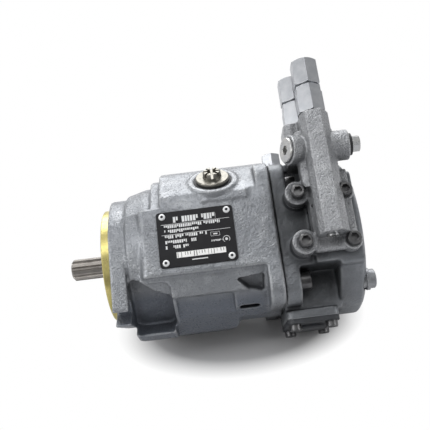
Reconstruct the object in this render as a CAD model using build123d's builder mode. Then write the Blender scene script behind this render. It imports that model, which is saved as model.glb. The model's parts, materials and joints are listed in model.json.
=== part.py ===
"""Variable axial piston pump: swash plate type with a two-bolt mounting flange and a two-spool control valve.

Frame: origin at the centre of the mounting face on the shaft axis, +X to the rear, +Z up along the drain
plug, -Y to the front. n and v are the two slanted axes square to X that the port plate is laid out on:
n leaves the name plate, v runs along the control valve. All lengths are in millimetres.
"""
import os
from math import cos, pi, radians, sin

from build123d import *

os.makedirs("parts", exist_ok=True)

# ---- driving dimensions
pad_tilt = radians(48)        # how far the n axis rises from the horizontal
pilot_r = 41.275              # two-bolt flange, small size: 82.55 mm pilot
pilot_len = 6.35
bolt_y = 53.2                 # half of the 106.4 mm bolt spacing
slot_w = 11.0
flange_t = 10.5
flange_r = 47.5
ear_r = 11.5
barrel_r = 53.5
waist_r = 51.5                # the slimmer rear of the barrel
cavity_r = 42.0
pad_n = 54.5                  # height of the name plate pad over the axis
joint_x = 115.0               # front of the port plate
gasket_t = 0.4
house_x = joint_x - gasket_t  # rear of the housing
flange2_x = 126.0             # rear face of the port plate's front flange
disc_x = 153.0
rear_x = 171.5
square = 50.0                 # half width of the joint flanges
deck_n = 50.0                 # top of the port plate in front of the valve
relief = 0.5                  # depth of the V groove round the foot of the pilot ring
belly_foot = -13.5            # lower end of the valve's faceted barrel
boss_lean = radians(20)       # lean of the valve's left boss towards n
port_v = 59.0                 # height of the suction pad over the axis
upper_v = 54.0                # height of the pressure pad
screw_c = 34.5                # joint screws at plus and minus this, on n and v
drain_x = 76.0
shaft_end = -36.0
spline_r = 7.9375             # nine teeth, 5/8 inch major diameter
shank_r = 8.75
piston_n = 9
piston_r = 5.5
piston_pcr = 22.0
swash_x = 45.0                # face the slippers run on
ball_x = 52.0                 # plane of the piston balls and of the tilt axis
block_x = 66.0
block_end = 110.95
block_r = 30.0
valve_top = 70.0              # upper end of the control valve
valve_n = 54.5
near_x, near_n = 147.8, 70.0  # adjuster nearer the front
far_x, far_n = 140.5, 46.5    # adjuster behind it
fit = 0.04                    # radial running clearance

N = (0, -cos(pad_tilt), sin(pad_tilt))
V = (0, sin(pad_tilt), cos(pad_tilt))


def at(x, n=0.0, v=0.0):
    return (x, n * N[1] + v * V[1], n * N[2] + v * V[2])


def face_n(x=0.0, n=0.0, v=0.0):
    return Plane(at(x, n, v), x_dir=(1, 0, 0), z_dir=N)      # local x = X, y = v


def face_v(x=0.0, n=0.0, v=0.0):
    return Plane(at(x, n, v), x_dir=(1, 0, 0), z_dir=V)      # local x = X, y = -n


def section(x=0.0, n=0.0, v=0.0):
    return Plane(at(x, n, v), x_dir=V, z_dir=(1, 0, 0))      # local x = v, y = n


def level(x=0.0, y=0.0, z=0.0):
    return Plane((x, y, z), x_dir=(0, 1, 0), z_dir=(1, 0, 0))  # local x = Y, y = Z


def polygon(plane, points, length, mode=Mode.ADD):
    with BuildSketch(plane) as drawn:
        with BuildLine():
            Polyline(*points, close=True)
        make_face()
    extrude(drawn.sketch, amount=length, mode=mode)


def box(plane, x0, x1, y0, y1, length, r=0.0, mode=Mode.ADD):
    with BuildSketch(plane) as drawn:
        with Locations(((x0 + x1) / 2, (y0 + y1) / 2)):
            if r:
                RectangleRounded(x1 - x0, y1 - y0, r)
            else:
                Rectangle(x1 - x0, y1 - y0)
    extrude(drawn.sketch, amount=length, mode=mode)


def rod(plane, r, length, mode=Mode.ADD, bore=0.0):
    with BuildSketch(plane) as drawn:
        Circle(r)
        if bore:
            Circle(bore, mode=Mode.SUBTRACT)
    extrude(drawn.sketch, amount=length, mode=mode)


def turned(plane, points, mode=Mode.ADD):
    """A profile of (along, radius) points turned about the plane's own normal."""
    side = Plane(plane.origin, x_dir=plane.z_dir, z_dir=plane.x_dir)
    with BuildSketch(side) as drawn:
        with BuildLine():
            Polyline(*points, close=True)
        make_face()
    revolve(drawn.sketch, axis=Axis(plane.origin, plane.z_dir), mode=mode)


def hexagon(plane, flats, length, cone=1.2, turn=0):
    """A hexagon with its corners turned off at both ends; it has to be the first shape of its piece."""
    with BuildSketch(plane) as drawn:
        RegularPolygon(flats / 2, 6, major_radius=False, rotation=turn)
    extrude(drawn.sketch, amount=length)
    r = flats / 3 ** 0.5
    low, top = r - cone, cone * 0.55
    turned(plane, [(0, 0), (0, low), (top, r + 0.01), (length - top, r + 0.01), (length, low), (length, 0)],
           mode=Mode.INTERSECT)


def hex_socket(plane, flats, depth):
    with BuildSketch(plane) as drawn:
        RegularPolygon(flats / 2, 6, major_radius=False)
    extrude(drawn.sketch, amount=-depth, mode=Mode.SUBTRACT)


def cap_screw(plane, r, length, head_r, head_h, flats):
    """A socket head screw: plane lies under the head, the head on its +z side."""
    b = 0.6
    turned(plane, [(-length, 0), (-length, r - b), (b - length, r), (0, r), (0, head_r), (head_h - b, head_r),
                   (head_h, head_r - b), (head_h, 0)])
    hex_socket(plane.offset(head_h), flats, head_h * 0.6)


def coil(plane, r, wire, height, turns):
    with BuildLine():
        wound = Helix(pitch=height / turns, height=height, radius=r, center=plane.origin, direction=plane.z_dir)
    with BuildSketch(Plane(wound @ 0, z_dir=wound % 0)) as drawn:
        Circle(wire)
    sweep(drawn.sketch, path=wound, is_frenet=True)


def save(builder, name):
    builder.part.label = name
    export_step(builder.part, f"parts/{name}.step")


# ---- housing
def make_housing():
    with BuildPart() as housing:
        with BuildSketch(level()):
            Circle(flange_r)
            with Locations((-bolt_y, 0), (bolt_y, 0)):
                Circle(ear_r)
            make_hull()
        extrude(amount=flange_t)
        axis = level()
        turned(axis, [(0, 0), (0, 45), (flange_t, 45), (flange_t + 2, 50), (26, barrel_r), (78, barrel_r),
                      (84, waist_r), (house_x, waist_r), (house_x, 0)])
        # name plate pad with its sloping front end
        polygon(Plane(at(0, 0, -24), x_dir=(1, 0, 0), z_dir=V).offset(0),
                [(flange_t, 0), (flange_t, -44), (17, -46.5), (21, -49), (23, 1.5 - pad_n), (25.5, -pad_n), (house_x, -pad_n),
                 (house_x, 0)], 47)
        polygon(face_v(0, 0, -24), [(20, -pad_n), (joint_x, -pad_n), (joint_x, -70), (20, -70)], 47, Mode.SUBTRACT)
        # crown that carries the drain boss
        polygon(level(38), [(-14, 40), (-19.6, 55.6), (-13, 60.3), (-8, 61), (16, 61), (33, 54), (46, 42), (40, 20),
                            (-10, 20)], house_x - 38)
        polygon(level(31), [(-24, 40), (-20, 54), (14, 57), (30, 50), (40, 40), (36, 20), (-18, 20)], 8)
        rod(Plane((drain_x, 0, 40), z_dir=(0, 0, 1)), 17.5, 22.5)
        polygon(level(66), [(-19.5, 56.9), (-14.3, 60.6), (-12.5, 58), (-17.5, 53.5)], 32)
        # full belly under the pad with a ledge, and the slimmer panel below it
        polygon(level(26), [(-48, 26), (-53.4, 20.5), (-56, 10), (-56, 6.5), (-51.5, 3.5), (-45, 0), (45, 0),
                            (51.5, 3.5), (56, 6.5), (56, 10), (53.4, 20.5), (48, 26)], house_x - 36)
        polygon(level(24), [(-51, 4), (-50, -16), (-41, -39), (-26, -54), (-8, -58), (8, -58), (26, -54),
                              (41, -39), (50, -16), (51, 4)], 59)
        for side in (-1, 1):
            polygon(level(42), [(side * 70, 3.5), (side * 51.5, 3.5), (side * 50, -16), (side * 41, -39),
                                (side * 70, -39)], 39, Mode.SUBTRACT)
        polygon(level(81), [(-45, 5), (-54.5, 5), (-53.5, -10), (-46, -25), (-38, -28), (38, -28), (46, -25),
                            (53.5, -10), (54.5, 5), (45, 5)], house_x - 10 - 81)
        polygon(level(flange_t), [(-44, -19), (-56, -19), (-55, -24), (-46, -37), (-24, -54), (24, -54), (46, -37),
                                  (55, -24), (56, -19), (44, -19)], 28)
        # the keel rises to the flange and to the joint
        slant = Plane((0, 77.1, -46.4), x_dir=(1, 0, 0), z_dir=(0, -0.857, 0.515))
        polygon(slant, [(flange_t, -54), (24.4, -59.6), (24.4, -75), (flange_t, -75)], 180, Mode.SUBTRACT)
        polygon(slant, [(74.8, -58.4), (83.2, -51.8), (83.2, -75), (74.8, -75)], 180, Mode.SUBTRACT)
        # square flange at the joint
        box(section(house_x - 10), -square, square, -square, pad_n, 10, 13)
        # pilot
        turned(axis, [(-pilot_len, 0), (-pilot_len, 38.6), (-2, 38.6), (0.5, 38.6), (0.5, 0)])
        turned(axis, [(-relief, pilot_r + 0.03), (0, pilot_r + 0.03), (relief, pilot_r + 0.03 - relief),
                      (0, pilot_r + 0.03 - 2 * relief), (-relief, pilot_r + 0.03 - 2 * relief)], Mode.SUBTRACT)
        # hollows
        rod(Plane((drain_x, 0, 60.9), z_dir=(0, 0, 1)), 13.4, 5, Mode.SUBTRACT)
        rod(Plane((drain_x, 0, 30), z_dir=(0, 0, 1)), 9.0, 40, Mode.SUBTRACT)
        turned(axis, [(-pilot_len - 1, 0), (-pilot_len - 1, 17), (4, 17), (4, 11.5), (6, 11.5), (6, 23.5), (20.5, 23.5),
                      (20.5, 20), (24, 20), (24, 34), (40, 34), (44, cavity_r), (joint_x + 1, cavity_r),
                      (joint_x + 1, 0)], Mode.SUBTRACT)
        for side in (-1, 1):
            # bolt pocket behind the ear and the open bolt slot
            outward = Plane((0, side * 41.5, 0), x_dir=(1, 0, 0), z_dir=(0, side, 0))
            box(outward, flange_t, 39.5, *sorted((side * 25, -side * 19)), 30, 6, Mode.SUBTRACT)
            # lump left in the pocket's corner, cast hollow and slot by the joint
            polygon(outward.offset(-0.5), [(19, -side * 20.5), (42, -side * 19), (42, -side * 5), (38.5, -side * 6),
                                           (27, -side * 12)], 11)
            polygon(outward.offset(8), [(83.5, -side * 15.2), (102.4, -side * 17.2), (101.6, -side * 2.1),
                                        (90.7, -side * 6.6)], 30, Mode.SUBTRACT)
            box(outward.offset(4.5), 84, 98, *sorted((side * 9, side * 13)), 30, 1.5, Mode.SUBTRACT)
            with BuildSketch(level(-1)):
                with Locations((side * bolt_y, 0)):
                    Circle(slot_w / 2)
                with Locations((side * (bolt_y + 10), 0)):
                    Rectangle(20, slot_w)
            extrude(amount=flange_t + 2, mode=Mode.SUBTRACT)
            # trench beside the cylinder block for the control piston and for the return spring
            rod(section(37.5, side * 38.5), 9.2, joint_x - 37, Mode.SUBTRACT)
        for n in (-1, 1):
            for v in (-1, 1):
                rod(section(joint_x - 9, n * screw_c, v * screw_c), 4.0, 10, Mode.SUBTRACT)
        # cradle seats for the swash plate
        for v in (-1, 1):
            lo, hi = (16, 29) if v > 0 else (-29, -16)
            polygon(face_v(0, 0, lo), [(22, -26), (22, 26), (38.8, 26), (38.8, -26)], hi - lo)
            rod(face_v(ball_x + 2, 0, lo - 1), 28, hi - lo + 2, Mode.SUBTRACT)
        # rivet holes
        for x, v in plate_holes():
            rod(face_n(x, pad_n - 5, v), 1.2, 6, Mode.SUBTRACT)
    save(housing, "housing")


plate_x, plate_w, plate_h = 60.9, 51.6, 38.2


def plate_holes():
    return [(plate_x + a * (plate_w / 2 - 4), b * (plate_h / 2 - 3.2)) for a in (-1, 1) for b in (-1, 1)]


def make_pilot_ring():
    with BuildPart() as piece:
        turned(level(), [(-pilot_len, 38.6), (-pilot_len, pilot_r - 0.6), (0.6 - pilot_len, pilot_r),
                         (0, pilot_r), (0, 38.6)])
    save(piece, "pilot_ring")


def make_name_plate():
    with BuildPart() as plate:
        box(face_n(plate_x, pad_n, 0), -plate_w / 2, plate_w / 2, -plate_h / 2, plate_h / 2, 0.8, 2.2)
        for x, v in plate_holes():
            rod(face_n(x, pad_n, v), 1.25, 2, Mode.SUBTRACT)
    save(plate, "name_plate")
    with BuildPart() as label:
        box(face_n(plate_x, pad_n + 0.8, 0), -14.3, 18.4, -13.2, -9.4, 0.12)
    save(label, "name_plate_label")
    with BuildPart() as rivets:
        for x, v in plate_holes():
            turned(face_n(x, pad_n + 0.8, v), [(-5.4, 0), (-5.4, 1.1), (0, 1.1), (0, 2.3), (0.5, 2.2), (1.0, 1.4),
                                               (1.0, 0.8), (0.2, 0.6), (0.2, 0)])
    save(rivets, "name_plate_rivets")


def make_drain_plug():
    top = Plane((drain_x, 0, 61.9), z_dir=(0, 0, 1))
    with BuildPart() as plug:
        turned(top, [(-13, 0), (-13, 8.2), (-12.2, 9.0), (0, 9.0), (0, 11.2), (0.8, 11.8), (2.2, 11.8), (2.8, 11.2),
                     (2.8, 6.6), (6.6, 6.2), (7.2, 5.6), (7.2, 0)])
        for turn in (0, 45, 90, 135):
            with BuildSketch(top.rotated((0, 0, turn)).offset(4.2)):
                Rectangle(16, 1.7)
            extrude(amount=4, mode=Mode.SUBTRACT)
        rod(top.offset(4.2), 3.2, 4, Mode.SUBTRACT)
    save(plug, "drain_plug")
    with BuildPart() as seal:
        rod(top.offset(-1.0), 13.1, 1.0, bore=9.05)
    save(seal, "drain_plug_seal")


plug_x = 123.1


def make_top_plug():
    seat = face_v(plug_x, 3, 61)
    with BuildPart() as plug:
        hexagon(seat.offset(1.5), 13, 8.5, 0.6, 30)
        rod(seat, 7.2, 1.91)
        rod(seat.offset(-11), 5.95, 11.1)
    save(plug, "top_plug")
    with BuildPart() as washer:
        rod(seat.offset(-1.0), 7.7, 1.0, bore=6.0)
    save(washer, "top_plug_washer")


# ---- port plate and what is fixed to it
def make_port_plate():
    with BuildPart() as port:
        box(section(joint_x), -square, square, -square, deck_n, flange2_x - joint_x, 13)
        arm = disc_x - flange2_x
        box(section(flange2_x - 1), -27, 27, 0, deck_n, arm + 2, 1.6)
        box(section(137), -27, 27, 0, pad_n, 17, 1.6)
        for x, v in valve_holes():
            if x < 140:
                rod(face_n(x, 40, v), 8.2, pad_n - 40)
        box(section(flange2_x - 1), -27, 27, -48, 0, arm + 2, 3)
        box(section(flange2_x - 1), 5 - port_v, 52, -25, 25, arm + 2, 3)
        box(face_v(0, 0, 5 - port_v), joint_x, 151, -25, 25, 5)
        rod(section(flange2_x - 1), 37, arm + 2)
        turned(section(), [(disc_x, 0), (disc_x, 55), (disc_x + 1, 56), (rear_x - 3, 56), (rear_x, 52), (rear_x, 0)])
        box(section(disc_x), -30, 34, 20, pad_n, rear_x - 2 - disc_x, 4)
        # port pads
        box(face_v(0, 0, -port_v), joint_x, 151, -29, 29, 6, 4)
        box(face_v(0, 0, upper_v - 6), joint_x, 151, -27, 27, 6, 4)
        rod(face_v(plug_x, 3, square + 0.3), 7.9, 9.7)
        # seat for the valve, and room for its farther barrel
        box(section(disc_x - 0.5), -40, 45, pad_n, 60, 20, 0, Mode.SUBTRACT)
        box(section(disc_x - 0.5), 34.5, 60, 34, 60, 20, 0, Mode.SUBTRACT)
        # raised ring on the rear face
        rod(section(rear_x - 0.01), 24, 2.5)
        # kidney passages with their bores, bearing seat, shaft end hollow
        rod(face_v(133, 0, -port_v - 1), 12, 44, Mode.SUBTRACT)
        for v in (-1, 1):
            with BuildSketch(section(joint_x - 1)):
                SlotArc(CenterArc((0, 0), piston_pcr, 90 - 90 * v - 50, 100), 6.5)
            extrude(amount=20, mode=Mode.SUBTRACT)
        turned(section(), [(joint_x - 1, 0), (joint_x - 1, 16.5), (128, 16.5), (128, 11), (135, 11), (135, 0)],
               Mode.SUBTRACT)
        # control pressure way up to the valve, control piston and spring seats
        rod(face_n(140, 20, 8), 2.5, 40, Mode.SUBTRACT)
        rod(section(joint_x - 1, 38.5), 7.0, 9, Mode.SUBTRACT)
        rod(section(joint_x - 1, -38.5), 7.0, 5, Mode.SUBTRACT)
        rod(face_v(plug_x, 3, 20), 6.0, 42, Mode.SUBTRACT)
        for n in (-1, 1):
            for v in (-1, 1):
                rod(section(joint_x - 1, n * screw_c, v * screw_c), 4.3, 13, Mode.SUBTRACT)
        for x, v in valve_holes():
            rod(face_n(x, pad_n - 12, v), 2.6, 13, Mode.SUBTRACT)
        for x, n in cover_holes():
            rod(face_v(x, n, -port_v - 1), 2.6, 11, Mode.SUBTRACT)
        rod(section(rear_x - 12, 30, -38), 6.0, 13, Mode.SUBTRACT)
    save(port, "port_plate")


def valve_holes():
    return [(130.3, 18.4), (130.3, -14.9), (161.0, 16.0), (161.0, -17.0)]


def cover_holes():
    return [(x, n) for x in (120.5, 145.5) for n in (-21.0, 21.0)]


def make_joint_screws():
    with BuildPart() as piece:
        for n in (-1, 1):
            for v in (-1, 1):
                cap_screw(section(flange2_x, n * screw_c, v * screw_c), 3.95, 19.6, 6.5, 8, 6)
    save(piece, "joint_screws")
    with BuildPart() as gasket:
        box(section(house_x), -square + 0.3, square - 0.3, -square + 0.3, deck_n - 0.3, gasket_t, 13)
        rod(section(house_x - 1), cavity_r, 3, Mode.SUBTRACT)
        for side in (-1, 1):
            rod(section(house_x - 1, side * 38.5), 9.2, 3, Mode.SUBTRACT)
            for v in (-1, 1):
                rod(section(house_x - 1, side * screw_c, v * screw_c), 4.2, 3, Mode.SUBTRACT)
    save(gasket, "joint_gasket")


def make_rear_plug():
    seat = section(rear_x, 30, -38)
    with BuildPart() as piece:
        turned(seat, [(-10, 0), (-10, 5.3), (-9.3, 5.95), (0, 5.95), (0, 7.4), (0.5, 7.6), (2.2, 7.6), (2.2, 6.6),
                      (5.8, 6.6), (6.5, 5.8), (6.5, 0)])
        hex_socket(seat.offset(6.5), 6, 4)
    save(piece, "rear_plug")


def make_cover():
    seat = Plane(at(133, 0, -port_v), x_dir=(1, 0, 0), z_dir=tuple(-c for c in V))
    with BuildPart() as cover:
        box(seat, -18, 18, -28, 28, 3, 5)
        turned(seat, [(0, 0), (0, 14), (4.6, 14), (5.5, 13), (5.5, 0)])
        turned(seat, [(0, 0), (0, 11.9), (-6, 11.7), (-6, 0)])
        rod(seat.offset(-7), 10, 10, Mode.SUBTRACT)
        for x, n in cover_holes():
            rod(Plane(at(x, n, -port_v + 1), x_dir=(1, 0, 0), z_dir=seat.z_dir), 2.7, 6, Mode.SUBTRACT)
    save(cover, "suction_cover")
    with BuildPart() as screws:
        for x, n in cover_holes():
            cap_screw(Plane(at(x, n, -port_v - 3), x_dir=(1, 0, 0), z_dir=seat.z_dir), 2.5, 11, 4.2, 4.5, 4)
    save(screws, "suction_cover_screws")


# ---- rotating group
def make_shaft():
    with BuildPart() as shaft:
        teeth = [(r * cos(radians(40 * k + turn)), r * sin(radians(40 * k + turn)))
                 for k in range(9) for r, turn in ((6.3, -13.5), (spline_r, -8), (spline_r, 8), (6.3, 13.5))]
        polygon(level(shaft_end), teeth, 27)
        turned(level(), [(shaft_end - 1, 6.2), (shaft_end, 6.2), (shaft_end + 1.7, 8.2), (shaft_end + 1.7, 9.2),
                         (shaft_end - 1, 9.2)], Mode.SUBTRACT)
        turned(level(), [(-10, 0), (-10, spline_r - 0.9), (-8.6, spline_r), (-5.6, spline_r), (-5.2, shank_r),
                         (5.5, shank_r), (5.5, 10), (60, 10), (60, 9), (88, 9), (88, 7.5), (132, 7.5), (132, 0)])
        with BuildSketch(level(68)):
            with PolarLocations(9.0, 12):
                Rectangle(2.4, 2.3)
        extrude(amount=20)
        rod(level(shaft_end - 0.5), 2.1, 9, Mode.SUBTRACT)
    save(shaft, "drive_shaft")


def make_seal():
    with BuildPart() as seal:
        turned(level(), [(-3.5, 9.6), (-3.5, 16.95), (3.9, 16.95), (3.9, 9.6), (1.4, shank_r + fit),
                         (0.6, shank_r + fit), (-1.2, 9.6)])
    save(seal, "shaft_seal")
    with BuildPart() as clip:
        turned(level(), [(-5.0, 13.6), (-5.0, 16.9), (-3.6, 16.9), (-3.6, 13.6)])
        polygon(level(-6), [(-3, 10), (-3, 20), (3, 20), (3, 10)], 4, Mode.SUBTRACT)
    save(clip, "seal_retaining_ring")


def make_bearing(name, x, length, bore, outer, count, sign):
    """A tapered roller bearing; sign +1 has its wide end to the rear."""
    mid, half = (bore + outer) / 2, length / 2
    lean = 0.9 * sign
    with BuildPart() as cup:
        turned(level(x + half), [(-half, outer), (half, outer), (half, mid + 3.4 + lean), (-half, mid + 3.4 - lean)])
    save(cup, name + "_cup")
    with BuildPart() as cone:
        turned(level(x + half), [(-half, bore), (half, bore), (half, mid - 2.6 + lean), (-half, mid - 2.6 - lean)])
    save(cone, name + "_cone")
    with BuildPart() as rollers:
        for k in range(count):
            turn = 2 * pi * k / count
            out = Vector(0, cos(turn), sin(turn))
            along = Vector(1, 0, 0) + out * (lean / half)
            turned(Plane(Vector(x + half, 0, 0) + out * (mid + 0.38), x_dir=out.cross(along), z_dir=along),
                   [(1.2 - half, 0), (1.2 - half, 2.86), (half - 1.2, 2.86), (half - 1.2, 0)])
    save(rollers, name + "_rollers")


def make_swash():
    reach = 26.0
    with BuildPart() as plate:
        rod(section(39), 31, swash_x - 0.03 - 39)
        for lo, hi in ((16, 29), (-29, -16)):
            with BuildSketch(face_v(ball_x + 2, 0, lo)):
                Circle(reach)
                with Locations((20, 0)):
                    Rectangle(69.2, 80, mode=Mode.SUBTRACT)
            extrude(amount=hi - lo)
        # control arm and spring arm
        box(section(39), -6, 6, 28, 43, 5.9, 2)
        box(section(39), -6, 6, -43, -28, 5.9, 2)
        rod(section(20), 13.5, 30, Mode.SUBTRACT)
    save(plate, "swash_plate")
    with BuildPart() as shells:
        for lo, hi in ((16.2, 28.8), (-28.8, -16.2)):
            with BuildSketch(face_v(ball_x + 2, 0, lo)):
                Circle(28)
                Circle(reach, mode=Mode.SUBTRACT)
                with Locations((14.5, 0)):
                    Rectangle(75, 80, mode=Mode.SUBTRACT)
                with Locations((-20, 30), (-20, -30)):
                    Rectangle(40, 24, mode=Mode.SUBTRACT)
            extrude(amount=hi - lo)
    save(shells, "cradle_bearings")


def make_rotating_group():
    spots = PolarLocations(piston_pcr, piston_n)
    with BuildPart() as slippers:
        for loc in spots:
            seat = Plane(section(swash_x) * loc)
            turned(seat, [(0, 2.2), (0, 6.9), (1.6, 6.9), (1.6, 5.2), (3.4, 5.0), (9.2, 5.0), (9.2, 3.9), (9.0, 3.9),
                          (8.2, 4.02), (7, 4.15), (5.8, 4.02), (4.6, 3.5), (3.6, 2.5), (2.9, 1.0), (2.9, 0.6),
                          (0.8, 0.6), (0.8, 2.2)])
    save(slippers, "slippers")
    with BuildPart() as pistons:
        for loc in spots:
            seat = Plane(section(ball_x) * loc)
            with Locations(seat):
                Sphere(4.05)
            turned(seat, [(0, 0), (0, 2.6), (9, 2.6), (12, piston_r - 0.4), (13, piston_r), (46, piston_r),
                          (47, piston_r - 1), (47, 0)])
            rod(seat.offset(30), 3.2, 18, Mode.SUBTRACT)
            rod(seat.offset(-5), 0.6, 36, Mode.SUBTRACT)
    save(pistons, "pistons")
    with BuildPart() as plate:
        rod(section(swash_x + 1.7), 31, 2.6)
        for loc in spots:
            rod(Plane(section(swash_x + 1) * loc), 5.9, 5, Mode.SUBTRACT)
        with Locations(section(ball_x - 4)):
            Sphere(13.95, mode=Mode.SUBTRACT)
    save(plate, "retainer_plate")
    with BuildPart() as ball:
        with Locations(section(ball_x - 4)):
            Sphere(13.9)
        rod(section(30), 30, 14.2, Mode.SUBTRACT)
        rod(section(ball_x + 2), 30, 20, Mode.SUBTRACT)
        turned(section(), [(swash_x - 2, 0), (swash_x - 2, 40), (swash_x + 1.7, 40), (swash_x + 1.7, 0)],
               Mode.SUBTRACT)
        rod(section(20), 10.02, 60, Mode.SUBTRACT)
    save(ball, "retainer_ball")
    with BuildPart() as block:
        turned(section(), [(block_x, 0), (block_x, 29), (block_x + 1, block_r), (106, block_r), (108, 28.5),
                           (block_end, 28.5), (block_end, 0)])
        for loc in spots:
            rod(Plane(section(block_x - 1) * loc), piston_r + 0.03, 41, Mode.SUBTRACT)
            rod(Plane(section(block_x + 30) * loc), 3.2, 20, Mode.SUBTRACT)
        turned(section(), [(block_x - 1, 0), (block_x - 1, 10.05), (88, 10.05), (88, 13.5), (104, 13.5), (104, 9.5),
                           (block_end + 1, 9.5), (block_end + 1, 0)], Mode.SUBTRACT)
        with BuildSketch(level(block_x - 1)):
            with PolarLocations(9.4, 12):
                Rectangle(2.6, 2.5)
        extrude(amount=23, mode=Mode.SUBTRACT)
    save(block, "cylinder_block")
    with BuildPart() as spring:
        coil(section(90.45), 11.4, 0.95, 11.1, 3.5)
    save(spring, "block_spring")
    with BuildPart() as washers:
        rod(section(88.1), 13.2, 1.4, bore=9.6)
        rod(section(102.5), 13.2, 1.4, bore=9.6)
    save(washers, "block_spring_washers")
    with BuildPart() as pins:
        for k in range(3):
            loc = PolarLocations(12.1, 3, start_angle=15).locations[k]
            rod(Plane(section(ball_x + 2.05) * loc), 1.1, block_x - ball_x - 2.05)
    save(pins, "pressure_pins")
    with BuildPart() as lens:
        rod(section(111), 29, joint_x - 111, bore=9.6)
        for turn in (0, 180):
            with BuildSketch(section(110)):
                SlotArc(CenterArc((0, 0), piston_pcr, turn - 50, 100), 6)
            extrude(amount=6, mode=Mode.SUBTRACT)
    save(lens, "valve_plate")


def make_control():
    with BuildPart() as guide:
        rod(section(84, 38.5), 8.4, 40 - 10 + 1, bore=6.05)
        rod(section(110, 38.5), 6.9, 12, bore=6.05)
        turned(section(84, 38.5), [(27, 8.3), (27, 9.1), (30.9, 9.1), (30.9, 8.3)])
    save(guide, "control_piston_guide")
    with BuildPart() as piston:
        turned(section(45.0, 38.5), [(0, 0), (0, 2.2), (1, 4), (3, 4.8), (5, 4), (6, 3.4), (34, 3.4), (36, 6.0), (70, 6.0),
                                     (71, 5.4), (71, 0)])
    save(piston, "control_piston")
    with BuildPart() as seat:
        turned(section(45.0, -38.5), [(0, 0), (0, 2.4), (2, 3.8), (2, 7.4), (4, 7.4), (4, 3.4), (26, 3.4), (27, 2.6), (27, 0)])
    save(seat, "return_spring_seat")
    with BuildPart() as spring:
        coil(section(50.0, -38.5), 5.6, 1.0, 68.0, 11)
    save(spring, "return_spring")


# ---- control valve
def left_boss(out=0.0):
    """The end of the valve's left boss, moved out along its own axis."""
    along = Vector(-cos(boss_lean), 0, 0) + Vector(*N) * sin(boss_lean)
    return Plane(Vector(*at(128.0, 68.5, 47.5)) + along * out, x_dir=V, z_dir=along)


def make_valve():
    hi = valve_top
    with BuildPart() as body:
        box(section(137), -22, 32.5, valve_n + 1.0, valve_n + 9.0, 28, 3)
        # faceted barrel round the nearer spool and the wide foot under it
        polygon(face_v(0, 0, belly_foot), [(138.1, -57), (138.7, -73), (141.7, -79), (152.1, -81.2), (158.1, -73),
                                           (159.1, -57)], hi - belly_foot)
        polygon(face_v(0, 0, -12), [(136, -58), (139.5, -72), (157, -72), (163, -58)], 40)
        # barrel round the farther spool
        box(face_v(0, 0, 41.8), 128.7, 156, -62, -36.5, hi - 41.8, 5)
        rod(face_v(far_x, far_n, 41.8), 11.4, hi - 41.8)
        box(face_v(0, 0, 20), 134, 160, -70, -56, 40, 4)
        # side bosses
        rod(left_boss(-15), 10.2, 15)
        rod(Plane(at(150, 66, 47.5), x_dir=V, z_dir=(1, 0, 0)), 10.2, 18.5)
        # screw bosses
        for x, v in valve_holes():
            rod(face_n(x, valve_n + 1.0, v), 8.2 if x < 140 else 6.4, 9.4)
        # bores
        rod(face_v(near_x, near_n, -9), 4.5, 54, Mode.SUBTRACT)
        rod(face_v(near_x, near_n, 42), 7.5, hi - 41, Mode.SUBTRACT)
        rod(face_v(far_x, far_n, 44), 4.5, 10, Mode.SUBTRACT)
        rod(face_v(far_x, far_n, 51.5), 7.5, hi - 50, Mode.SUBTRACT)
        rod(left_boss(-9.3), 6.6, 10.3, Mode.SUBTRACT)
        rod(Plane(at(158.6, 66, 47.5), x_dir=V, z_dir=(1, 0, 0)), 5.2, 11, Mode.SUBTRACT)
        for x, v in valve_holes():
            rod(face_n(x, valve_n, v), 2.9, 14, Mode.SUBTRACT)
            rod(face_n(x, valve_n + 10.0, v), 5.4 if x < 140 else 4.7, 30, Mode.SUBTRACT)
        rod(face_n(140, valve_n, 8), 2.0, 12, Mode.SUBTRACT)
        rod(face_v(near_x, near_n, belly_foot - 1), 3.0, 4.7, Mode.SUBTRACT)
    save(body, "valve_body")
    with BuildPart() as gasket:
        box(section(138), -21, 31.5, valve_n, valve_n + 1.0, 26, 0)
        for x, v in valve_holes():
            rod(face_n(x, valve_n, v), 7.9 if x < 140 else 6.2, 1.0)
        for x, v in valve_holes():
            rod(face_n(x, valve_n - 1, v), 2.9, 4, Mode.SUBTRACT)
        rod(face_n(140, valve_n - 1, 8), 2.5, 4, Mode.SUBTRACT)
    save(gasket, "valve_gasket")
    with BuildPart() as screws:
        for x, v in valve_holes():
            cap_screw(face_n(x, valve_n + 10.0, v), 2.5, 20, 4.4, 6, 5)
    save(screws, "valve_screws")
    with BuildPart() as plug:
        seat = left_boss()
        turned(seat, [(-9, 0), (-9, 5.9), (-8.4, 6.5), (0, 6.5), (0, 8.0), (0.5, 8.4), (1.6, 8.4), (2.0, 8.0), (2.0, 0)])
        hex_socket(seat.offset(2.0), 6, 4)
    save(plug, "valve_left_plug")
    with BuildPart() as plug:
        seat = Plane(at(168.5, 66, 47.5), x_dir=V, z_dir=(1, 0, 0))
        hexagon(seat.offset(2.2), 10, 5.5, 0.8)
        rod(seat.offset(-7), 5.1, 9.25)
    save(plug, "valve_right_plug")
    with BuildPart() as seal:
        rod(Plane(at(168.5, 66, 47.5), x_dir=V, z_dir=(1, 0, 0)), 7.4, 2.15, bore=5.2)
    save(seal, "valve_right_plug_seal")
    with BuildPart() as small:
        seat = Plane(at(near_x, near_n, belly_foot), x_dir=(1, 0, 0), z_dir=tuple(-c for c in V))
        turned(seat, [(-3.5, 0), (-3.5, 2.95), (0, 2.95), (0, 3.9), (1.4, 3.9), (1.4, 0)])
        hex_socket(seat.offset(1.4), 3, 3)
    save(small, "valve_end_plug")


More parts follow.
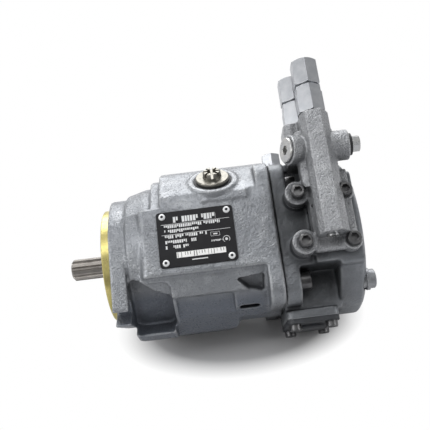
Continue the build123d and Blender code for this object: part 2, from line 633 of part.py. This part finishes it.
def make_adjuster(name, x, n, low, spool_len):
    """Spool, spring and the stack of threaded pieces that loads them, all on one line along v."""
    hi = valve_top
    with BuildPart() as spool:
        spots = [(0, 0), (0, 3.2), (0.8, 4.46), (8, 4.46)]
        run = 8.0
        while run + 14 < spool_len:
            spots += [(run + 0.5, 2.6), (run + 5.5, 2.6), (run + 6, 4.46), (run + 13, 4.46)]
            run += 13
        spots += [(spool_len, 4.46), (spool_len, 2.4), (spool_len + 3, 2.0), (spool_len + 3, 0)]
        turned(face_v(x, n, low), spots)
    save(spool, name + "_spool")
    top = low + spool_len
    with BuildPart() as seat:
        turned(face_v(x, n, top), [(0, 2.5), (0, 6.2), (1.6, 6.2), (1.6, 3.4), (4.6, 3.0), (4.6, 0), (3.05, 0),
                                   (3.05, 2.2), (1.0, 2.5)])
    save(seat, name + "_spring_seat")
    end = hi + 3.0
    with BuildPart() as spring:
        coil(face_v(x, n, top + 2.5), 4.6, 0.8, end - 1.0 - top - 2.5, 5.5)
    save(spring, name + "_spring")
    with BuildPart() as screw:
        turned(face_v(x, n, end), [(-4, 0), (-4, 2.6), (0, 3.2), (0, 6.0), (1.8, 6.0), (1.8, 3.6), (8, 3.6), (8, 3.96),
                                   (26, 3.96), (27, 3.2), (27, 0)])
        hex_socket(face_v(x, n, end + 27), 4, 5)
    save(screw, name + "_adjusting_screw")
    with BuildPart() as sleeve:
        hexagon(face_v(x, n, hi + 0.6), 17.2, 14.6, 1.0, 30)
        rod(face_v(x, n, hi - 12), 7.45, 12.7)
        with BuildSketch(face_v(x, n, hi + 15.1)) as neck:
            RegularPolygon(8.1, 6, major_radius=False, rotation=30)
        extrude(neck.sketch, amount=4.9)
        rod(face_v(x, n, hi + 19.9), 7.2, 1.3)
        rod(face_v(x, n, hi - 13), 6.4, 21, Mode.SUBTRACT)
        rod(face_v(x, n, hi + 6), 4.0, 20, Mode.SUBTRACT)
    save(sleeve, name + "_sleeve_nut")
    with BuildPart() as cap:
        hexagon(face_v(x, n, hi + 21.2), 16.8, 18.6, 1.3, 30)
        rod(face_v(x, n, hi + 19), 4.05, 14.5, Mode.SUBTRACT)
    save(cap, name + "_cap_nut")


def make_sleeve_seals():
    with BuildPart() as seals:
        for x, n in ((near_x, near_n), (far_x, far_n)):
            rod(face_v(x, n, valve_top), 9.2, 0.6, bore=7.5)
    save(seals, "sleeve_seals")


make_housing()
make_pilot_ring()
make_name_plate()
make_drain_plug()
make_top_plug()
make_port_plate()
make_joint_screws()
make_rear_plug()
make_cover()
make_shaft()
make_seal()
make_bearing("front_bearing", 6.1, 14, 10.0, 23.45, 14, 1)
make_bearing("rear_bearing", 115.6, 11.5, 7.5, 16.45, 13, -1)
make_swash()
make_rotating_group()
make_control()
make_valve()
make_adjuster("pressure", near_x, near_n, -8.5, 52.0)
make_adjuster("flow", far_x, far_n, 44.5, 9.0)
make_sleeve_seals()
print("pieces written:", len(os.listdir("parts")))
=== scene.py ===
import json
import math

import bmesh
import bpy
import numpy as np
from mathutils import Matrix, Vector


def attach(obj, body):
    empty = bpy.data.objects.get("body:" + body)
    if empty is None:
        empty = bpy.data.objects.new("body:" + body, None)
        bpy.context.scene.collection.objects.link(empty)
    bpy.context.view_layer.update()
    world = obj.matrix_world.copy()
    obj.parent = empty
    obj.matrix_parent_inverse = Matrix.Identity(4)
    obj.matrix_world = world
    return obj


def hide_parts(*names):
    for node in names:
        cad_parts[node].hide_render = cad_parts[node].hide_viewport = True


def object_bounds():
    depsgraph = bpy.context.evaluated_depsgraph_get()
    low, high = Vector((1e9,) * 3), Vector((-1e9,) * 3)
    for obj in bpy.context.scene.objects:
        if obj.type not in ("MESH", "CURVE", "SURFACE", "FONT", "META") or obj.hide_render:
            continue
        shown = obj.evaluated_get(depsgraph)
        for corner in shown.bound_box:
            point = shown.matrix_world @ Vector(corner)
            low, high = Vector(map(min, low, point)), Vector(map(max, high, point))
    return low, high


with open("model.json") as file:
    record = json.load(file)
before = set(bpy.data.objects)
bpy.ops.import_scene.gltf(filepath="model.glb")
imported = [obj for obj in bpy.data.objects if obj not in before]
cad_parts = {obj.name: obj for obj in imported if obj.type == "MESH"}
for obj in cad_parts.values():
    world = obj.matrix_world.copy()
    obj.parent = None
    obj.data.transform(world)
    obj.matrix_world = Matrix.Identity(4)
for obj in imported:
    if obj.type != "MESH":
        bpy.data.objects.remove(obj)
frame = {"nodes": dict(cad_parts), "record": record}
nodes = frame["nodes"]
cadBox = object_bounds()
world = bpy.context.scene
print("frame loaded,", len(nodes), "nodes")

# the slanted axes of the port plate: n leaves the name plate, v runs along the control valve
tilt = math.radians(48)
axisN = np.array([0.0, -math.cos(tilt), math.sin(tilt)])
axisV = np.array([0.0, math.sin(tilt), math.cos(tilt)])


def slanted(x, n, v):
    # millimetres along the shaft, along n and along v, to metres in the part's frame
    x, n, v = np.broadcast_arrays(np.asarray(x, float), n, v)
    return (x[..., None] * np.array([1.0, 0, 0]) + n[..., None] * axisN + v[..., None] * axisV) / 1000


# ---------- shader expressions
class Sock:
    # one output socket; sums and products of it add Math nodes

    def __init__(self, tree, out):
        self.tree, self.out = tree, out

    def math(self, operation, *others):
        node = self.tree.nodes.new("ShaderNodeMath")
        node.operation = operation
        for slot, value in zip(node.inputs, (self,) + others):
            feed(self.tree, slot, value)
        return Sock(self.tree, node.outputs[0])

    def __add__(self, other): return self.math("ADD", other)
    def __radd__(self, other): return self.math("ADD", other)
    def __mul__(self, other): return self.math("MULTIPLY", other)
    def __sub__(self, other): return self.math("SUBTRACT", other)

    def __rsub__(self, other):
        node = self.tree.nodes.new("ShaderNodeMath")
        node.operation = "SUBTRACT"
        node.inputs[0].default_value = other
        self.tree.links.new(self.out, node.inputs[1])
        return Sock(self.tree, node.outputs[0])

    def clamp(self):
        node = self.tree.nodes.new("ShaderNodeClamp")
        self.tree.links.new(self.out, node.inputs[0])
        return Sock(self.tree, node.outputs[0])

    def between(self, low, high):
        # 0 below low, 1 above high, straight between
        return ((self - low) * (1.0 / (high - low))).clamp()


def feed(tree, slot, value):
    if isinstance(value, Sock):
        tree.links.new(value.out, slot)
    elif isinstance(value, (tuple, list)):
        slot.default_value = (*value, 1.0) if len(value) == 3 and len(slot.default_value) == 4 else value
    else:
        slot.default_value = value


class Surface:
    # a material on Object coordinates with one Principled shader

    def __init__(self, name, **fixed):
        self.material = bpy.data.materials.new(name)
        self.material.use_nodes = True
        self.tree = self.material.node_tree
        self.shader = next(n for n in self.tree.nodes if n.type == "BSDF_PRINCIPLED")
        self.point = self.add("ShaderNodeTexCoord")("Object")
        for key, value in fixed.items():
            feed(self.tree, self.shader.inputs[key.replace("_", " ")], value)

    def add(self, kind, settings=None, **inputs):
        node = self.tree.nodes.new(kind)
        for key, value in (settings or {}).items():
            setattr(node, key, value)
        for key, value in inputs.items():
            slot = node.inputs[int(key[1:])] if key[0] == "_" else node.inputs[key.replace("_", " ")]
            feed(self.tree, slot, value)
        return lambda out=0: Sock(self.tree, node.outputs[out])

    def noise(self, scale, detail=3.0, rough=0.55, stretch=None):
        at = self.point
        if stretch:
            at = self.add("ShaderNodeMapping", Vector=at, Scale=stretch)()
        return self.add("ShaderNodeTexNoise", Vector=at, Scale=scale, Detail=detail, Roughness=rough)("Fac")

    def cells(self, scale):
        return self.add("ShaderNodeTexVoronoi", Vector=self.point, Scale=scale)("Distance")

    def mix(self, share, first, second, blend="MIX"):
        return self.add("ShaderNodeMix", {"data_type": "RGBA", "blend_type": blend},
                        _0=share, _6=first, _7=second)(2)

    def bump(self, height, distance, strength=1.0, normal=None):
        extra = {"Normal": normal} if normal else {}
        return self.add("ShaderNodeBump", Height=height, Distance=distance, Strength=strength, **extra)()

    def rounded(self, radius):
        return self.add("ShaderNodeBevel", {"samples": 6}, Radius=radius)()

    def along(self, direction):
        # distance along a fixed direction, in metres
        return self.add("ShaderNodeVectorMath", {"operation": "DOT_PRODUCT"},
                        _0=self.point, _1=tuple(direction))("Value")

    def set(self, **links):
        for key, value in links.items():
            feed(self.tree, self.shader.inputs[key.replace("_", " ")], value)
        return self.material


# centres and reaches of the painted shade round the valve screws
screwShadeSpots = [(tuple(slanted(127, 46, 20)), 0.019), (tuple(slanted(128, 46, 2)), 0.019),
             (tuple(slanted(129, 46, -18)), 0.017), (tuple(slanted(141, 30, -34)), 0.024)]


# all casting paints: how far the hollows' painted shade reaches, where the painted shade of the lower panel starts,
# how far the painted shade round the valve screws spreads
hollows = {"reach": 0.022, "samples": 6, "from": 0.12, "to": 0.75, "strength": 0.85}
underShade = {"z": (-0.004, 0.006), "x": (0.1, 0.108), "strength": 0.75, "tint": (0.62, 0.68, 0.78)}
screwShade = {"core": 0.55, "rim": 1.25, "strength": 0.75}


def castPaint(name, colour, pale, dark, grain=1.0, rough=0.3, metal=0.45, skin=0.42):
    # silver paint over a sand casting: fine grain, broad waves, rubbed pale edges, painted shade in the hollows,
    # under the belly and round the valve screws
    s = Surface(name, Metallic=metal, IOR=1.5)
    fine = s.noise(1700, 2, 0.6)
    grainy = s.noise(620, 4, 0.62)
    waves = s.noise(120, 3, 0.5)
    broad = s.noise(30, 2, 0.5)
    pits = s.cells(520).between(0.0, 0.4)
    patch = s.noise(45, 3, 0.6).between(skin, skin + 0.2)     # rough skin comes and goes
    edge = s.add("ShaderNodeAttribute", {"attribute_name": "edge"})("Fac")
    open_ = s.add("ShaderNodeAmbientOcclusion", {"samples": hollows["samples"]}, Distance=hollows["reach"])("AO")
    tone = s.mix((broad - 0.5) * 1.1 + 0.6, dark, colour)
    tone = s.mix(waves.between(0.5, 0.75) * 0.2, tone, pale)
    # painted shade and painted reflection of the shadowed floor: the paint is darker and bluer under the belly's
    # ledge
    underShadeMask = (1 - s.along((0, 0, 1)).between(*underShade["z"])) * (1 - s.along((1, 0, 0)).between(*underShade["x"]))
    tone = s.mix(underShadeMask * underShade["strength"], tone, tuple(c * k for c, k in zip(dark, underShade["tint"])))
    tone = s.mix(fine.between(0.6, 0.74) * patch * 0.5, tone, pale)
    tone = s.mix((1 - pits) * 0.4, tone, dark)
    tone = s.mix((edge + grainy * 0.5 - 0.2).between(0.25, 1.0) * 0.55, tone, pale)
    # painted shade: ambient occlusion darkens the paint in the hollows
    shade = (1 - open_).between(hollows["from"], hollows["to"])
    # painted shade: the paint is darker in the shadowed hollow between the joint and the valve's foot, round the
    # valve screws
    screwShadeMask = 0
    for place, reach in screwShadeSpots:
        near = s.add("ShaderNodeVectorMath", {"operation": "DISTANCE"}, _0=s.point, _1=place)("Value")
        screwShadeMask = (1 - near.between(reach * screwShade["core"], reach * screwShade["rim"])) + screwShadeMask
    screwShadeMask = (screwShadeMask * (broad * 0.5 + 0.6)).clamp()
    tone = s.mix(screwShadeMask * screwShade["strength"], tone, tuple(c * 0.3 for c in dark))
    tone = s.mix(shade * hollows["strength"], tone, tuple(c * 0.16 for c in dark))
    height = grainy * (patch * 0.5 + 0.25) + fine * 0.15 + waves * 0.9 + pits * 0.35 * patch
    s.set(Base_Color=tone, Roughness=grainy * 0.22 + shade * 0.2 - waves * 0.08 + (rough - 0.05),
          Normal=s.bump(height, 0.0005 * grain, 0.8))
    return s.material


def platedMetal(name, colour, tint, rough=0.3, metal=1.0, edge=0.0003, stains=0.3, marked=0.6):
    # plated steel: clouded tint, fine tool marks, small stains
    s = Surface(name, Metallic=metal)
    cloud = s.noise(160, 4, 0.6)
    marks = s.noise(900, 2, 0.5, stretch=(1, 1, 0.15))
    stain = s.noise(420, 3, 0.7).between(0.6, 0.72)
    tone = s.mix(cloud.between(0.35, 0.7), colour, tint)
    tone = s.mix(stain * stains, tone, tuple(c * 0.45 for c in colour))
    s.set(Base_Color=tone, Roughness=cloud * 0.16 + marks * 0.1 + stain * 0.15 + (rough - 0.13),
          Normal=s.bump(marks + cloud * 0.4, 0.00004, marked, s.rounded(edge)))
    return s.material


def groundSteel(name, colour, rough=0.28):
    # turned and ground steel: fine rings round the shaft axis with a few scratches
    s = Surface(name, Metallic=1.0)
    rings = s.noise(1400, 2, 0.5, stretch=(1, 0.06, 0.06))
    cloud = s.noise(120, 3, 0.6)
    tone = s.mix(cloud.between(0.35, 0.75), colour, tuple(c * 0.62 for c in colour))
    s.set(Base_Color=tone, Roughness=rings * 0.2 + cloud * 0.12 + (rough - 0.15),
          Normal=s.bump(rings, 0.00003, 0.7, s.rounded(0.0002)))
    return s.material


def dullBlack(name, colour, rough=0.5, shine=0.5):
    s = Surface(name, Specular_IOR_Level=shine)
    grain = s.noise(1800, 3, 0.6)
    smear = s.noise(60, 3, 0.6)
    tone = s.mix(smear.between(0.4, 0.75) * 0.4, colour, tuple(min(c * 2.2 + 0.01, 1) for c in colour))
    s.set(Base_Color=tone, Roughness=smear * 0.25 + (rough - 0.1),
          Normal=s.bump(grain, 0.00004, 0.6, s.rounded(0.0003)))
    return s.material


def rivetRing(name, centres, colour, hollow, radius):
    # pale rim, dark middle: the distance to the nearest rivet's axis says which
    s = Surface(name, Metallic=0.25)
    near = None
    for centre in centres:
        off = s.add("ShaderNodeVectorMath", {"operation": "DISTANCE"}, _0=s.point, _1=tuple(centre))("Value")
        near = off if near is None else near.math("MINIMUM", off)
    rim = near.between(radius * 0.92, radius * 1.08)
    s.set(Base_Color=s.mix(rim, hollow, colour), Roughness=s.noise(900) * 0.2 + 0.42)
    return s.material


plate = {"x": 60.9, "top": 55.3, "lift": 0.035, "wide": 51.6, "high": 38.2, "rivetIn": (4.0, 3.2), "rivetTop": 0.6}
rivetSpots = [slanted(plate["x"] + a * (plate["wide"] / 2 - plate["rivetIn"][0]), plate["top"] + plate["rivetTop"],
                      b * (plate["high"] / 2 - plate["rivetIn"][1])) for a in (-1, 1) for b in (-1, 1)]
finishes = {
    "rivetWhite": rivetRing("rivetWhite", rivetSpots, (0.82, 0.83, 0.84), (0.03, 0.03, 0.035), 0.00105),
    "housingPaint": castPaint("housingPaint", (0.30, 0.315, 0.335), (0.60, 0.61, 0.62), (0.18, 0.19, 0.21), 1.6, 0.28,
                              0.45, 0.32),
    "portPaint": castPaint("portPaint", (0.27, 0.285, 0.305), (0.5, 0.51, 0.52), (0.13, 0.14, 0.155), 1.3, 0.32),
    "valvePaint": castPaint("valvePaint", (0.37, 0.38, 0.395), (0.72, 0.73, 0.74), (0.21, 0.215, 0.23), 2.4, 0.26,
                            0.45, 0.24),
    "zincPlate": platedMetal("zincPlate", (0.52, 0.53, 0.54), (0.66, 0.65, 0.62), 0.3),
    "nutSteel": platedMetal("nutSteel", (0.42, 0.435, 0.46), (0.5, 0.51, 0.53), 0.33, 0.85, 0.0002, 0.05, 0.12),
    "screwSteel": platedMetal("screwSteel", (0.1, 0.1, 0.105), (0.2, 0.2, 0.2), 0.3, 0.9),
    "drainSteel": platedMetal("drainSteel", (0.19, 0.185, 0.165), (0.3, 0.285, 0.25), 0.36, 0.9),
    "paintedSteel": platedMetal("paintedSteel", (0.27, 0.28, 0.3), (0.4, 0.41, 0.42), 0.36, 0.55),
    "yellowPassivate": platedMetal("yellowPassivate", (0.70, 0.60, 0.24), (0.50, 0.45, 0.16), 0.3, 0.85),
    "shaftSteel": groundSteel("shaftSteel", (0.38, 0.355, 0.33), 0.34),
    "bearingSteel": groundSteel("bearingSteel", (0.6, 0.6, 0.61), 0.2),
    "bronze": groundSteel("bronze", (0.55, 0.36, 0.16), 0.3),
    "oiledIron": groundSteel("oiledIron", (0.16, 0.16, 0.17), 0.4),
    "springWire": platedMetal("springWire", (0.2, 0.2, 0.21), (0.3, 0.3, 0.31), 0.35),
    "nitrile": dullBlack("nitrile", (0.018, 0.018, 0.02), 0.55),
    "coverPlastic": dullBlack("coverPlastic", (0.03, 0.033, 0.038), 0.48),
    "plateBlack": dullBlack("plateBlack", (0.012, 0.012, 0.014), 0.5, 0.22),
    "labelFilm": dullBlack("labelFilm", (0.9, 0.9, 0.89), 0.5),
    "plateInk": dullBlack("plateInk", (0.72, 0.73, 0.74), 0.5, 0.2),
}
nodeFinish = {
    "chromate": "yellowPassivate", "zinc": "zincPlate", "shaft_steel": "shaftSteel", "bearing_steel": "bearingSteel",
    "bronze": "bronze", "dark_iron": "oiledIron", "black_plate": "plateBlack", "label_white": "labelFilm",
    "rubber": "nitrile", "cover_black": "coverPlastic", "spring_steel": "springWire", "cast_silver": "housingPaint",
    "valve_cast": "valvePaint",
}
ownFinish = {
    "pressure_cap_nut": "nutSteel", "flow_cap_nut": "nutSteel", "pressure_sleeve_nut": "nutSteel",
    "flow_sleeve_nut": "nutSteel", "top_plug": "nutSteel", "top_plug_washer": "nutSteel",
    "joint_screws": "screwSteel", "valve_screws": "screwSteel", "suction_cover_screws": "screwSteel",
    "joint_gasket": "paintedSteel", "valve_gasket": "paintedSteel", "rear_plug": "paintedSteel",
    "valve_left_plug": "zincPlate", "drain_plug": "drainSteel", "name_plate_rivets": "rivetWhite",
}
slotOf = {p["node"]: p["material_slot"] for p in frame["record"]["subparts"]}
for name, node in nodes.items():
    finish = finishes[ownFinish.get(name) or nodeFinish[slotOf[name]]]
    node.data.materials.clear()
    node.data.materials.append(finish)
print("finishes made,", len(finishes))


def markEdges(mesh, cell):
    # edge = how far a point stands over the mean of its neighbours, over a sixth of the cell, averaged three times
    count = len(mesh.vertices)
    place, ends = np.empty(count * 3), np.empty(len(mesh.edges) * 2, int)
    facing = np.empty(count * 3)
    mesh.vertices.foreach_get("co", place)
    mesh.edges.foreach_get("vertices", ends)
    mesh.vertex_normals.foreach_get("vector", facing)
    first, second = ends.reshape(-1, 2).T
    degree = np.bincount(first, minlength=count) + np.bincount(second, minlength=count)

    def around(value):
        total = np.bincount(first, value[second], count) + np.bincount(second, value[first], count)
        return total / np.maximum(degree, 1)

    place, facing = place.reshape(-1, 3), facing.reshape(-1, 3)
    mean = np.stack([around(place[:, k]) for k in range(3)], 1)
    stands = ((place - mean) * facing).sum(1) / (cell / 6)
    for _ in range(3):
        stands = stands * 0.5 + around(stands) * 0.5
    mesh.attributes.new("edge", "FLOAT", "POINT").data.foreach_set("value", stands.astype(np.float32))


# ---------- castings: the sharp machined model softened as a sand casting is
def softened(node, name, body, finish, voxel, rounds):
    # a merged copy of a node, remeshed in small cells and relaxed so that its edges turn over as cast ones do
    mesh = nodes[node].data.copy()
    work = bmesh.new()
    work.from_mesh(mesh)
    bmesh.ops.remove_doubles(work, verts=work.verts, dist=1e-6)
    work.to_mesh(mesh)
    work.free()
    piece = bpy.data.objects.new(name, mesh)
    bpy.context.collection.objects.link(piece)
    cells = piece.modifiers.new("cells", "REMESH")
    cells.mode, cells.voxel_size, cells.use_smooth_shade = "VOXEL", voxel, True
    relax = piece.modifiers.new("relax", "SMOOTH")
    relax.factor, relax.iterations = 0.5, rounds
    graph = bpy.context.evaluated_depsgraph_get()
    made = bpy.data.meshes.new_from_object(piece.evaluated_get(graph))
    piece.modifiers.clear()
    piece.data = made
    made.materials.clear()
    made.materials.append(finish)
    made.shade_smooth()
    markEdges(made, voxel)
    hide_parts(node)
    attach(piece, body)
    print(name, "made,", len(made.polygons), "faces")


castings = {"housing": (0.00095, 5), "port_plate": (0.00095, 5), "valve_body": (0.0006, 4)}
softened("housing", "housingCasting", "casing", finishes["housingPaint"], *castings["housing"])
softened("port_plate", "portPlateCasting", "casing", finishes["portPaint"], *castings["port_plate"])
softened("valve_body", "valveBodyCasting", "casing", finishes["valvePaint"], *castings["valve_body"])


def meshPiece(name, points, faces, finish, body, slotName, smooth=False):
    mesh = bpy.data.meshes.new(name)
    mesh.from_pydata(points.tolist(), [], faces.tolist())
    mesh.update()
    mesh.materials.append(finish)
    if smooth:
        mesh.shade_smooth()
    piece = bpy.data.objects.new(name, mesh)
    bpy.context.collection.objects.link(piece)
    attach(piece, body)
    return piece


# ---------- name plate print
def strips(rects, lift):
    # flat bars on the plate: each row gives left, right, low and high in millimetres from the plate's centre
    r = np.asarray(rects, float)
    x = plate["x"] + r[:, [0, 1, 1, 0]]
    v = r[:, [2, 2, 3, 3]]
    points = slanted(x, plate["top"] + lift, v).reshape(-1, 3)
    return points, np.arange(len(points)).reshape(-1, 4)


def arc(radius, wide, start, stop, centre, count=26):
    # a band between two circles about a centre, as short bars end to end
    turn = np.radians(np.linspace(start, stop, count))
    ring = np.stack([np.cos(turn), np.sin(turn)], 1)
    inner, outer = ring * (radius - wide / 2) + centre, ring * (radius + wide / 2) + centre
    flat = np.concatenate([inner, outer])
    points = slanted(plate["x"] + flat[:, 0], plate["top"] + plate["lift"], flat[:, 1])
    k = np.arange(count - 1)
    return points, np.stack([k, k + count, k + count + 1, k + 1], 1)


def joined(parts):
    points, faces, base = [], [], 0
    for p, f in parts:
        points.append(p)
        faces.append(f + base)
        base += len(p)
    return np.concatenate(points), np.concatenate(faces)


rng = np.random.default_rng(7)
bars = []


def wordRow(left, right, low, high, cell, gap):
    # a row of short blocks that stands for a line of print
    at = left
    while at < right:
        wide = cell * rng.uniform(0.55, 1.0)
        if rng.random() > 0.14:
            lowCut = low + (high - low) * rng.choice([0, 0, 0.35])
            bars.append((at, min(at + wide, right), lowCut, high))
        at += wide + gap


wordRow(-14.5, 14.0, 11.2, 15.2, 1.9, 0.42)
for low, left, right in ((7.7, -21, 16.5), (4.4, -21, 3.0), (0.6, -21, 7.0), (-3.0, -21, 1.0), (-6.6, -21, -5.5)):
    wordRow(left, right, low, low + 2.2, 1.2, 0.36)
wordRow(9.5, 17.5, -4.9, -3.7, 0.7, 0.25)
bars += [(-23, 23, 10.2, 10.45), (-23, 23, 3.0, 3.25)]
bars += [(9.5, 15.6, -1.2, -1.02), (9.5, 15.6, 1.5, 1.68), (9.5, 9.68, -1.2, 1.68), (15.42, 15.6, -1.2, 1.68),
         (11.2, 14, -0.2, 0.7)]
bars += [(-4.5, 6, -15.6, -14.9)]
printed = joined([strips(bars, plate["lift"]), arc(2.2, 0.32, -40, 235, (19.6, -4.2)),
                  arc(0.5, 0.9, 0, 360, (19.6, -4.2))])
meshPiece("platePrint", *printed, finishes["plateInk"], "casing", "label_white")
code, at = [], -13.6
while at < 17.4:
    wide = rng.uniform(0.2, 0.45)
    code.append((at, at + wide, -13.0 + rng.choice([0, 1.3]), -9.6))
    at += wide + rng.uniform(1.1, 2.4)
meshPiece("labelBars", *strips(code, 0.16), finishes["nitrile"], "casing", "rubber")
print("name plate print made,", len(bars) + len(code), "bars")


# ---------- floor, light and camera
view = {"target": (0.0748, 0.0152, 0.0243), "elevation": 31.0, "roll": 7.0, "distance": 0.45, "lens": 50.0}
# dark and fade: the reach and the fade of the floor's painted shadow round the pump
floorPlate = {"z": cadBox[0][2] - 0.0002, "half": 1.6, "count": 9, "colour": (0.6, 0.6, 0.61),
              "centre": (0.085, 0.0, 0), "squash": (1, 1.55, 0), "dark": 0.072, "fade": 0.028}
lamps = {"backTop": ((0.05, 0.75, 0.75), 1.0, 10.0), "leftWindow": ((-0.7, -0.2, 0.6), 0.5, 2.6),
         "frontLeft": ((-0.45, -0.75, 0.45), 0.6, 0.9), "frontTop": ((0.0, -0.3, 0.95), 0.5, 2.0),
         "rightStrip": ((0.8, -0.45, 0.3), 0.3, 1.2)}
roomLight = {"rear": 0.55, "left": 0.1, "base": 0.13}


def makeFloor():
    count = floorPlate["count"]
    span = np.linspace(-floorPlate["half"], floorPlate["half"], count)
    gx, gy = np.meshgrid(span, span, indexing="ij")
    points = np.stack([gx, gy, np.full_like(gx, floorPlate["z"])], -1).reshape(-1, 3)
    k = np.arange(count - 1)[:, None] * count + np.arange(count - 1)[None]
    faces = np.stack([k, k + count, k + count + 1, k + 1], -1).reshape(-1, 4)
    mesh = bpy.data.meshes.new("paleFloor")
    mesh.from_pydata(points.tolist(), [], faces.tolist())
    floor = bpy.data.objects.new("paleFloor", mesh)
    bpy.context.collection.objects.link(floor)
    s = Surface("floorWhite", Roughness=0.9, Base_Color=floorPlate["colour"])
    ray = s.add("ShaderNodeLightPath")
    glow = s.add("ShaderNodeEmission", Color=(1, 1, 1), Strength=1.0)()
    # the far floor is plain white to the camera; near the pump it shows the darker lit floor with its rendered
    # shadow, so the squashed circle where that happens is a painted shadow round the pump
    underneath = s.add("ShaderNodeVectorMath", {"operation": "MULTIPLY"},
                       _0=s.point, _1=floorPlate["squash"])("Vector")
    away = s.add("ShaderNodeVectorMath", {"operation": "DISTANCE"}, _0=underneath, _1=floorPlate["centre"])("Value")
    share = (away - floorPlate["dark"]).between(0.0, floorPlate["fade"])
    blended = s.add("ShaderNodeMixShader", _0=(ray("Is Camera Ray")) * share,
                    _1=Sock(s.tree, s.shader.outputs[0]), _2=glow)()
    s.tree.links.new(blended.out, next(n for n in s.tree.nodes if n.type == "OUTPUT_MATERIAL").inputs[0])
    mesh.materials.append(s.material)


def lamp(name, place, aim, size, power):
    light = bpy.data.lights.new(name, "AREA")
    light.shape, light.size, light.energy = "DISK", size, power
    obj = bpy.data.objects.new(name, light)
    obj.location = place
    obj.rotation_euler = (Vector(aim) - Vector(place)).to_track_quat("-Z", "Y").to_euler()
    bpy.context.collection.objects.link(obj)


makeFloor()
for lampName, (place, size, power) in lamps.items():
    lamp(lampName, place, view["target"], size, power)
sky = bpy.data.worlds.new("studio")
sky.use_nodes = True
world.world = sky
back = sky.node_tree.nodes["Background"]
path = sky.node_tree.nodes.new("ShaderNodeLightPath")
seen = Sock(sky.node_tree, path.outputs["Is Camera Ray"])
feed(sky.node_tree, back.inputs["Color"], (1, 1, 1, 1))
# the room is pale behind the pump and overhead, and darker on the side the camera looks from
lookWay = sky.node_tree.nodes.new("ShaderNodeTexCoord")
split = sky.node_tree.nodes.new("ShaderNodeSeparateXYZ")
sky.node_tree.links.new(lookWay.outputs["Generated"], split.inputs[0])
rearward = Sock(sky.node_tree, split.outputs["Y"]).between(-0.75, 0.6)
leftward = 1 - Sock(sky.node_tree, split.outputs["X"]).between(-0.8, 0.5)
room = rearward * roomLight["rear"] + leftward * roomLight["left"] + roomLight["base"]
feed(sky.node_tree, back.inputs["Strength"], seen + (1 - seen) * room)

elevation, roll = math.radians(view["elevation"]), math.radians(view["roll"])
away = Vector((0, -math.cos(elevation), math.sin(elevation)))
upward = Vector((0, math.sin(elevation), math.cos(elevation)))
sideways = Vector((1, 0, 0))
right = math.cos(roll) * sideways - math.sin(roll) * upward
up = math.cos(roll) * upward + math.sin(roll) * sideways
spot = Vector(view["target"]) + view["distance"] * away
lensData = bpy.data.cameras.new("viewCamera")
lensData.lens, lensData.sensor_width = view["lens"], 36.0
lensData.clip_start = 0.01
camera = bpy.data.objects.new("viewCamera", lensData)
camera.matrix_world = Matrix.Translation(spot) @ Matrix((right, up, away)).transposed().to_4x4()
bpy.context.collection.objects.link(camera)
world.camera = camera
world.view_settings.view_transform = "Standard"
print("stage, lamps and camera placed")
